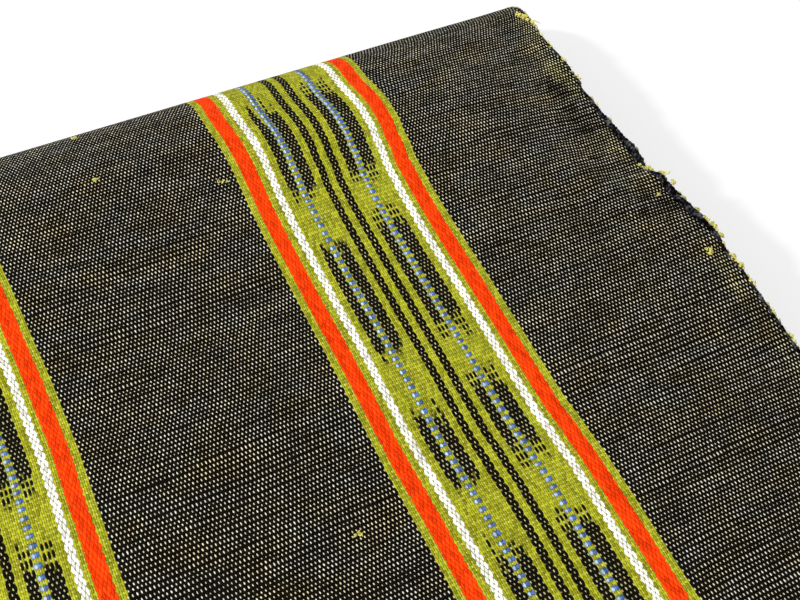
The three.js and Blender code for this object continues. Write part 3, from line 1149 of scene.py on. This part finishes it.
# The light on the warp and on the weft: the least, and what each cause adds
WARP_LIGHT = {"least": 0.66, "float": 0.72, "end": 0.08, "fibre": 0.85}
WEFT_LIGHT = {"least": 0.75, "own": 0.40, "patch": 0.20, "fibre": 0.20}
# A float's shade, from its sunken edge to its back
GAP_SHADE = (0.34, 0.86, 0.46, 1.0)
TINTS = [(0.34, srgb(240, 247, 255)), (0.50, srgb(255, 252, 244)), (0.72, srgb(255, 240, 200))]
PALE_TINT = srgb(255, 250, 182)
PALE_SHARE = 0.8
# Where the shade of a blue bead begins and ends, from its middle to its rim
BEAD_SHADE = (0.15, 0.95)
# What the fibres add to the relief and, with the least, to the roughness
FIBRE_RELIEF = 0.16
FIBRE_ROUGHNESS = (0.16, 0.74)


def handwoven_cotton(threads, stripes, ikat, weave):
    """Warp-faced cotton: the stripes by end, the ikat by its tied patches, and the weft as small ovals."""
    material, net, shader = new_material("handwoven_cotton", 0.9, 0.0, 0.02)
    at = net.add("UVMap", uv_map="Threads").outputs[0]
    grid = net.group(threads, {"Threads": at})
    end, row, across, down, ends, rows = (grid[k] for k in ("End", "Row", "Across", "Down", "Ends", "Rows"))
    left_depth, right_depth, ragged = net.attribute("tied")
    # dark paints the shade of creases by hiding and shrinking the weft; pale is where more of the weft shows
    dark, pale, _ = net.attribute("shade")
    tall = net.scaled(ragged, BLUE_GROWS, 1 - BLUE_GROWS)
    stripe = net.group(stripes, {"End": end, "Ends": ends, "Rows": rows, "Tall": tall})

    calmer = net.times(ragged, RIGHT_CALMER)
    at_end = {"End": end, "Row": row}
    left = net.group(ikat, {"Depth": left_depth, "Feather": ragged, **LEFT_TIES, **at_end})["Dyed"]
    right = net.group(ikat, {"Depth": right_depth, "Feather": calmer, **RIGHT_TIES, **at_end})["Dyed"]
    dyed = net.plus(net.times(left, stripe["Left ikat"]), net.times(right, stripe["Right ikat"]))

    # The gap that a place is nearest to, beside its float or above it
    beside = net.math("GREATER_THAN", net.math("ABSOLUTE", across), net.math("ABSOLUTE", down))
    gap_end = net.plus(end, net.times(net.math("SIGN", across), beside))
    gap_row = net.plus(row, net.times(net.math("SIGN", down), net.minus(1.0, beside)))
    one_gap = net.chance(gap_end, gap_row, 1.5)
    one_row = net.chance(0.0, gap_row, 2.5)
    # Rows differ: some picks are thick and hide the weft for a hand's width, some show it strongly
    slub = net.cloth_noise(net.parts(at)[0], gap_row, SLUB_RUN, 5.0, 1.0)
    hidden = net.smooth(slub, *HIDDEN_FROM)
    patches = net.cloth_noise(end, row, PATCH_RUN, 9.0, 2.0)
    shift = net.times(net.chance(0.0, gap_row, 8.5), STROKE_SHIFT)
    run = net.math("FLOOR", net.times(net.plus(gap_end, shift), STROKE_RUN))
    stroke = net.plus(net.chance(run, gap_row, 3.5), net.times(dark, STROKE_CREASE))
    stroke = net.math("GREATER_THAN", stroke, STROKE_RARE)
    size = net.plus(
        net.scaled(one_gap, SPOT["own"], SPOT["least"]),
        net.swing(one_row, SPOT["row"]),
        net.swing(patches, SPOT["patch"]),
    )
    hidden = net.math("MAXIMUM", hidden, stroke)
    for share, change in ((hidden, "hidden"), (dark, "dark"), (pale, "pale")):
        size = net.times(size, net.scaled(share, SPOT[change], 1.0))
    fibre_at = net.point(net.times(across, FIBRE_RUN[0]), net.plus(net.times(rows, FIBRE_RUN[1]), end), end)
    fibre = net.noise(fibre_at, 1.0, 2.0, 0.7)
    frayed = net.swing(fibre, SPOT_FRAY)
    relief = net.group(weave, {"Across": across, "Down": down, "Size": size, "Rough": frayed})

    warp = net.blend(dyed, stripe["Warp"], YARNS["dyed"]["warp"])
    # The weft's colour by stripe, with the floats' painted shade and reflection, or that of a dyed patch
    weft = net.blend(dyed, stripe["Weft"], YARNS["dyed"]["weft"])
    tints = net.cloth_noise(end, row, TINT_RUN, 21.0, 2.0, 0.6)
    weft = net.dyed_with(weft, net.ramp(tints, TINTS, steps=False))
    weft = net.blend(net.times(pale, PALE_SHARE), weft, net.dyed_with(weft, PALE_TINT))

    # Each float is spun unevenly, and its edges sink into shade between the rows
    light = net.plus(
        net.scaled(net.chance(end, row, 6.5), WARP_LIGHT["float"], WARP_LIGHT["least"]),
        net.swing(net.chance(end, 0.0, 7.5), WARP_LIGHT["end"]),
        net.swing(fibre, WARP_LIGHT["fibre"]),
    )
    warp = net.lit(net.lit(warp, light), net.smooth(relief["Float"], *GAP_SHADE))
    weft_light = net.plus(
        net.scaled(one_gap, WEFT_LIGHT["own"], WEFT_LIGHT["least"]),
        net.swing(patches, WEFT_LIGHT["patch"]),
        net.swing(fibre, WEFT_LIGHT["fibre"]),
    )
    colour = net.blend(relief["Weft"], warp, net.lit(weft, weft_light))
    # A blue bead darkens to the painted shade of its rim
    lobe = net.smooth(stripe["Lobe"], *BEAD_SHADE)
    bead = net.blend(lobe, net.blend(stripe["Side"], BLUE_LEFT, BLUE_RIGHT), BLUE_RIM_SHADE)
    colour = net.blend(stripe["Blue"], colour, net.lit(bead, light))
    net.feed(shader.inputs["Base Color"], colour)
    net.feed(shader.inputs["Roughness"], net.scaled(fibre, *FIBRE_ROUGHNESS))

    height = net.plus(relief["Height"], net.scaled(fibre, FIBRE_RELIEF))
    bump = net.add("Bump", {"Height": height, "Strength": 1.0, "Distance": RELIEF})
    net.feed(shader.inputs["Normal"], bump.outputs[0])
    return material


YARN_RELIEF = 0.09 * MM
# Painted shade in the grooves between a bundle's plies
GROOVE_SHADE = srgb(3, 3, 4)
# Where the first yarn colour ends and the other begins, for plain yarn and for yarn with grooves
YARN_SHARES = (0.36, 0.64)
GROOVED_SHARES = (0.46, 0.64)


def spun_yarn(name, colour, other, twist, specular=0.15, grooves=False):
    """Loose cotton yarn: two near colours in fine turns along it, by Object coordinates. With grooves it is
    painted with black shade in the grooves between its plies, where its "open" attribute is low."""
    material, net, shader = new_material(name, 0.85, 0.0 if grooves else 0.04, specular)
    at = net.add("TexCoord").outputs["Object"]
    lumps = net.noise(at, twist, 3.0, 0.65)
    clouds = net.noise(at, twist * 0.22, 1.0)
    share = net.plus(net.times(lumps, 0.6), net.times(clouds, 0.4))
    share = net.smooth(share, *(GROOVED_SHARES if grooves else YARN_SHARES))
    yarn = net.blend(share, colour, other)
    if grooves:
        # Painted shade in the grooves, where the plies hide each other from the light
        yarn = net.blend(net.attribute("unshaded")[0], GROOVE_SHADE, yarn)
    net.feed(shader.inputs["Base Color"], yarn)
    bump = net.add("Bump", {"Height": lumps, "Strength": 1.0, "Distance": YARN_RELIEF})
    net.feed(shader.inputs["Normal"], bump.outputs[0])
    return material


# The cloth and everything on it
sheet = make_sheet()
sheet.data.materials.append(
    handwoven_cotton(threads_group(), stripes_group(), ikat_group(), weave_group())
)

YELLOW_WEFT = spun_yarn("yellow_weft", srgb(222, 214, 122), srgb(166, 158, 62), 2200)
PALE_WEFT = spun_yarn("pale_edge_weft", srgb(212, 208, 150), srgb(130, 126, 84), 1800)
# Near-black edge warps whose lighter grey spots are partly the yarn's own fibres and partly painted
# highlights
BLACK_WARP = spun_yarn("blue_black_warp", srgb(3, 3, 4), srgb(94, 93, 100), 1700, 0.02, grooves=True)
MIXED_TURNS = spun_yarn("edge_weft", srgb(176, 172, 100), srgb(24, 24, 24), 700)
FLUFF = spun_yarn("cotton_fluff", srgb(120, 116, 84), srgb(70, 68, 54), 500)

trims = [
    (make_weft_turns("right_weft_turns", 1, 21), MIXED_TURNS),
    (make_weft_turns("left_weft_turns", -1, 22), MIXED_TURNS),
    *((make_bundle(f"{part}_edge_warps", rows), BLACK_WARP) for part, rows in EDGE_BUNDLES.items()),
    (make_beads("weft_beads", 41), PALE_WEFT),
    (make_tufts("weft_tufts", TUFTS, 31, 0.19, 0.68), YELLOW_WEFT),
    (make_tufts("weft_slubs", SLUBS, 32, 0.15, 0.8), YELLOW_WEFT),
    (make_stray_end("stray_weft_end"), YELLOW_WEFT),
    (make_fuzz("edge_fuzz", 33, 900, 1500), FLUFF),
]
for piece, material in trims:
    piece.data.materials.append(material)
    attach(piece, "root")

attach(sheet, "root")
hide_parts("cloth")


# The studio: a pale floor, a white surround and one small soft light, high up on the left
FLOOR_SIZE = 3.0
SURROUND_LIGHT = 0.95
LIGHT_PLACE = (-0.88, 0.155, 0.80)
LIGHT_SIZE = 0.12
LIGHT_POWER = 12.4
# The floor is pale and glows a little, as a light table does, so that its shadows stay faint
FLOOR_SHADE = 0.3
FLOOR_GLOW = 0.62


def make_floor():
    half = FLOOR_SIZE / 2
    corners = np.array([[-half, -half, 0], [half, -half, 0], [half, half, 0], [-half, half, 0]])
    floor = new_mesh("studio_floor", corners, [(0, 1, 2, 3)], smooth=False)
    material, net, shader = new_material("floor_paint", 0.9, 0.0, 0.1)
    shader.inputs["Base Color"].default_value = (FLOOR_SHADE, FLOOR_SHADE, FLOOR_SHADE, 1)
    shader.inputs["Emission Color"].default_value = (1, 1, 1, 1)
    shader.inputs["Emission Strength"].default_value = FLOOR_GLOW
    floor.data.materials.append(material)


def aim(thing, place_at, forward, roll=0.0):
    """Puts a camera or light at a place, looking along forward, rolled by so many degrees."""
    forward = np.array(forward) / np.linalg.norm(forward)
    right = np.cross(forward, (0, 0, 1))
    right /= np.linalg.norm(right)
    up = np.cross(right, forward)
    turn = math.radians(roll)
    turned_right = math.cos(turn) * right + math.sin(turn) * up
    turned_up = math.cos(turn) * up - math.sin(turn) * right
    matrix = np.eye(4)
    matrix[:3] = np.column_stack([turned_right, turned_up, -forward, place_at])
    thing.matrix_world = Matrix(matrix.tolist())


# The camera, from the photograph: where it stands, how far it looks down and round, and its lens
CAMERA_PLACE = (-0.0200, -0.1131, 0.2227)
CAMERA_AZIMUTH = 27.536
CAMERA_DOWN = 54.625
CAMERA_ROLL = 1.14
CAMERA_LENS = 51.76


def make_camera():
    data = bpy.data.cameras.new("camera")
    data.lens = CAMERA_LENS
    data.clip_start = 0.01
    camera = bpy.data.objects.new("camera", data)
    bpy.context.scene.collection.objects.link(camera)
    azimuth, down = math.radians(CAMERA_AZIMUTH), math.radians(CAMERA_DOWN)
    forward = (math.sin(azimuth) * math.cos(down), math.cos(azimuth) * math.cos(down), -math.sin(down))
    aim(camera, CAMERA_PLACE, forward, CAMERA_ROLL)
    bpy.context.scene.camera = camera


def make_light():
    data = bpy.data.lights.new("soft_light", "AREA")
    data.shape = "DISK"
    data.size = LIGHT_SIZE
    data.energy = LIGHT_POWER
    light = bpy.data.objects.new("soft_light", data)
    bpy.context.scene.collection.objects.link(light)
    aim(light, LIGHT_PLACE, -np.array(LIGHT_PLACE))
    world = bpy.data.worlds.new("surround")
    world.use_nodes = True
    world.node_tree.nodes["Background"].inputs["Color"].default_value = (1, 1, 1, 1)
    world.node_tree.nodes["Background"].inputs["Strength"].default_value = SURROUND_LIGHT
    bpy.context.scene.world = world


make_floor()
make_light()
make_camera()
bpy.context.scene.view_settings.view_transform = "Standard"
